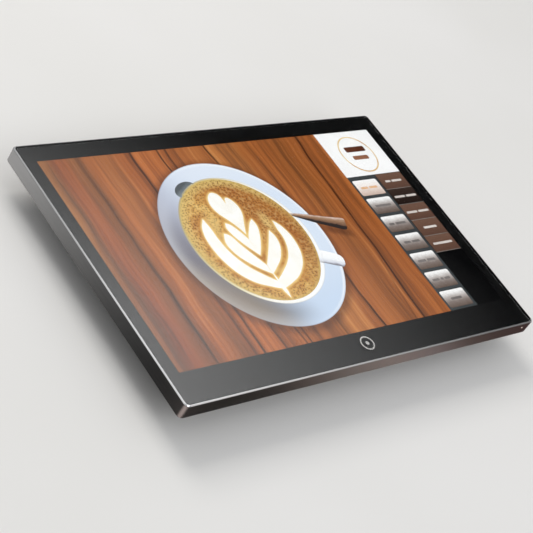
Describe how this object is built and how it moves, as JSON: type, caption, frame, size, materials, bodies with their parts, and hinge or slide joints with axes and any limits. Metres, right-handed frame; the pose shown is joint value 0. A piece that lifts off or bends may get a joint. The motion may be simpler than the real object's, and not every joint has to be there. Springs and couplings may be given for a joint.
{
  "type": "pos touchscreen terminal",
  "caption": "Thin all-in-one point-of-sale touchscreen head with an edge-to-edge cover glass, side keys, rear computer housing and a VESA 100 mount.",
  "frame": {"origin": "on the rear face of the rear housing, below the centre of the slab, so the head lies face up on z = 0", "axes": "+Z out of the screen, +Y to the top edge of the picture, +X to the right of a person reading the screen"},
  "size_m": [0.3324, 0.2124, 0.0312],
  "materials": {
    "anodised_aluminium": "satin",
    "cover_glass": "polished",
    "border_ink": "matte",
    "edge_bead": "matte",
    "foam_tape": "matte",
    "touch_sensor": "polished",
    "mark_foil": "satin",
    "display_cell": "gloss",
    "tray_steel": "satin",
    "mould_frame": "matte",
    "backlight_film": "matte",
    "light_guide": "gloss",
    "lamp_strip": "matte",
    "pad_foam": "matte",
    "driver_board": "satin",
    "flex_film": "satin",
    "ribbon": "satin",
    "power_button": "satin",
    "volume_rocker": "satin",
    "pin_steel": "polished",
    "switch_body": "matte",
    "light_pipe": "gloss",
    "rear_plastic": "textured",
    "door_plastic": "textured",
    "screw_steel": "satin",
    "rating_plate": "satin",
    "lock_steel": "satin",
    "frame_steel": "satin",
    "insert_brass": "satin",
    "main_board": "satin",
    "standoff_brass": "satin",
    "processor": "gloss",
    "memory_module": "satin",
    "storage_module": "satin",
    "wireless_module": "satin",
    "battery_steel": "polished",
    "board_components": "matte",
    "usb_steel": "satin",
    "inlet_plastic": "matte",
    "jack_plastic": "satin",
    "copper": "satin",
    "fin_aluminium": "satin",
    "fan_plastic": "matte",
    "fan_lid": "satin",
    "speaker_plastic": "matte",
    "antenna_film": "satin"
  },
  "bodies": {
    "head": {"antennas": "antenna_film", "audio_jack": "inlet_plastic", "board_components": "board_components", "board_screws": "screw_steel", "board_standoffs": "standoff_brass", "border_mark": "mark_foil", "cash_drawer_port": "jack_plastic", "clock_battery": "battery_steel", "cold_plate": "copper", "cover_glass": "cover_glass", "diffuser_sheet": "backlight_film", "display_cell": "display_cell", "display_driver_board": "driver_board", "display_flexes": "flex_film", "display_pads": "pad_foam", "display_ribbon": "ribbon", "display_tray": "tray_steel", "edge_bead": "edge_bead", "fan_housing": "fan_plastic", "fan_lid": "fan_lid", "fin_stack": "fin_aluminium", "foam_tape": "foam_tape", "heat_pipe": "copper", "ink_border": "border_ink", "lamp_strip": "lamp_strip", "light_guide": "light_guide", "lock_plate": "lock_steel", "main_board": "main_board", "memory_module": "memory_module", "mould_frame": "mould_frame", "mount_frame": "frame_steel", "mount_frame_screws": "screw_steel", "mount_inserts": "insert_brass", "network_port": "jack_plastic", "power_inlet": "inlet_plastic", "power_switch": "switch_body", "processor": "processor", "rating_plate": "rating_plate", "rear_cover": "rear_plastic", "rear_cover_screws": "screw_steel", "reflector_sheet": "backlight_film", "rocker_pin": "pin_steel", "service_door": "door_plastic", "service_door_screw": "screw_steel", "side_key_board": "driver_board", "slab_housing": "anodised_aluminium", "speakers": "speaker_plastic", "status_light_board": "driver_board", "status_light_pipe": "light_pipe", "storage_module": "storage_module", "touch_controller_board": "driver_board", "touch_flex": "flex_film", "touch_sensor": "touch_sensor", "usb_c_port": "usb_steel", "usb_ports": "usb_steel", "volume_switches": "switch_body", "wireless_module": "wireless_module"},
    "power_button": {"power_button": "power_button"},
    "volume_rocker": {"volume_rocker": "volume_rocker"},
    "fan_rotor": {"fan_rotor": "fan_plastic"}
  },
  "joints": [
    {"name": "power_press", "type": "slide", "parent": "head", "child": "power_button", "axis": [-1, 0, 0], "range_m": [0, 0.0006], "stiffness_N_per_m": 800},
    {"name": "volume_rock", "type": "hinge", "parent": "head", "child": "volume_rocker", "pos_m": [0.16265, -0.038, 0.0252], "axis": [0, 0, 1], "range_deg": [-1.8, 1.8], "stiffness_Nm_per_rad": 0.05},
    {"name": "fan_spin", "type": "hinge", "parent": "head", "child": "fan_rotor", "pos_m": [0.085, -0.002, 0.009], "axis": [0, 0, 1], "continuous": true}
  ]
}
